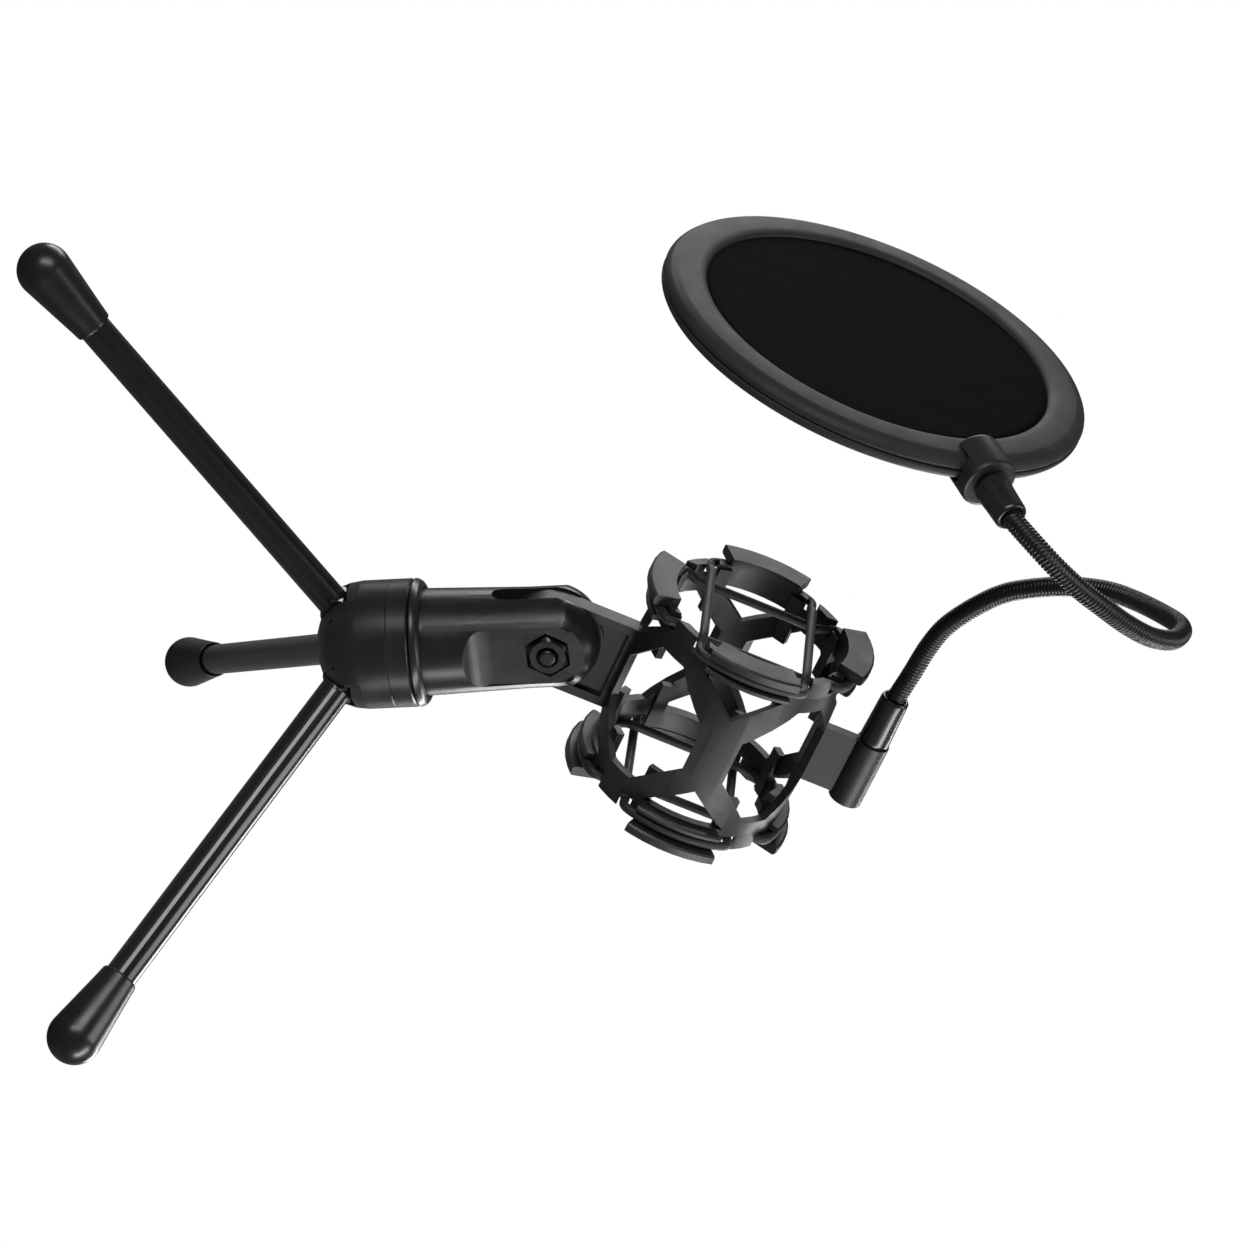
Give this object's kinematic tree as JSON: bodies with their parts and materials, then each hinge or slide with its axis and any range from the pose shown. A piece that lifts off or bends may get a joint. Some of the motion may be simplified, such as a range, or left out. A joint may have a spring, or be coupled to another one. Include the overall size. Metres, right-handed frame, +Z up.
{
  "type": "desktop microphone stand with pop filter",
  "caption": "Folding desktop tripod with a tilting elastic microphone cage and a round mesh pop filter on a flexible gooseneck.",
  "frame": {"origin": "on the floor plane, under the hub's vertical axis", "axes": "+Z up along the hub; the head tilts in the XZ plane, and the microphone points towards -X"},
  "size_m": [0.1951, 0.223, 0.3123],
  "materials": {
    "hub": "satin black moulding",
    "collar_ring": "satin black moulding",
    "leg_left": "black painted tube",
    "leg_front": "black painted tube",
    "leg_rear": "black painted tube",
    "leg_pin_left": "black steel pin",
    "leg_pin_front": "black steel pin",
    "leg_pin_rear": "black steel pin",
    "foot_left": "smooth black rubber",
    "foot_front": "smooth black rubber",
    "foot_rear": "smooth black rubber",
    "clevis_tube": "satin black moulding",
    "pivot_nut": "black steel",
    "pivot_bolt": "black steel",
    "cage": "satin black moulding",
    "band_top_a": "black elastic cord",
    "band_top_b": "black elastic cord",
    "band_bottom_a": "black elastic cord",
    "band_bottom_b": "black elastic cord",
    "ferrule_lower": "satin black",
    "ferrule_upper": "satin black",
    "gooseneck": "black spiral-wound metal",
    "block": "dark grey moulding",
    "rim_front": "dark grey moulding",
    "rim_back": "dark grey moulding",
    "mesh_front": "black nylon mesh",
    "mesh_back": "black nylon mesh"
  },
  "bodies": {
    "base": {"hub": "hub", "collar_ring": "collar_ring", "clevis_tube": "clevis_tube", "pivot_nut": "pivot_nut", "pivot_bolt": "pivot_bolt", "leg_pin_left": "leg_pin_left", "leg_pin_front": "leg_pin_front", "leg_pin_rear": "leg_pin_rear"},
    "leg_left": {"leg_left": "leg_left", "foot_left": "foot_left"},
    "leg_front": {"leg_front": "leg_front", "foot_front": "foot_front"},
    "leg_rear": {"leg_rear": "leg_rear", "foot_rear": "foot_rear"},
    "head": {"cage": "cage", "band_top_a": "band_top_a", "band_top_b": "band_top_b", "band_bottom_a": "band_bottom_a", "band_bottom_b": "band_bottom_b"},
    "neck": {"ferrule_lower": "ferrule_lower", "gooseneck": "gooseneck", "ferrule_upper": "ferrule_upper"},
    "filter": {"block": "block", "rim_front": "rim_front", "rim_back": "rim_back", "mesh_front": "mesh_front", "mesh_back": "mesh_back"}
  },
  "joints": [
    {"name": "leg_left_fold", "type": "hinge", "parent": "base", "child": "leg_left", "pos_m": [-0.012, 0, 0.0755], "axis": [0, -1, 0], "range_deg": [0, 54]},
    {"name": "leg_front_fold", "type": "hinge", "parent": "base", "child": "leg_front", "pos_m": [0.006, -0.01039, 0.0755], "axis": [0.866, 0.5, 0], "range_deg": [0, 54]},
    {"name": "leg_rear_fold", "type": "hinge", "parent": "base", "child": "leg_rear", "pos_m": [0.006, 0.01039, 0.0755], "axis": [-0.866, 0.5, 0], "range_deg": [0, 54]},
    {"name": "head_tilt", "type": "hinge", "parent": "base", "child": "head", "pos_m": [0, 0, 0.1343], "axis": [0, 1, 0], "range_deg": [-40, 40]},
    {"name": "gooseneck_turn", "type": "hinge", "parent": "head", "child": "neck", "pos_m": [0.04464, 0, 0.21861], "axis": [-0.8838, 0, 0.4679], "range_deg": [-50, 50]},
    {"name": "filter_turn", "type": "hinge", "parent": "neck", "child": "filter", "pos_m": [-0.06889, -0.05469, 0.26186], "axis": [0.3423, -0.8354, 0.43], "range_deg": [-35, 35]}
  ]
}
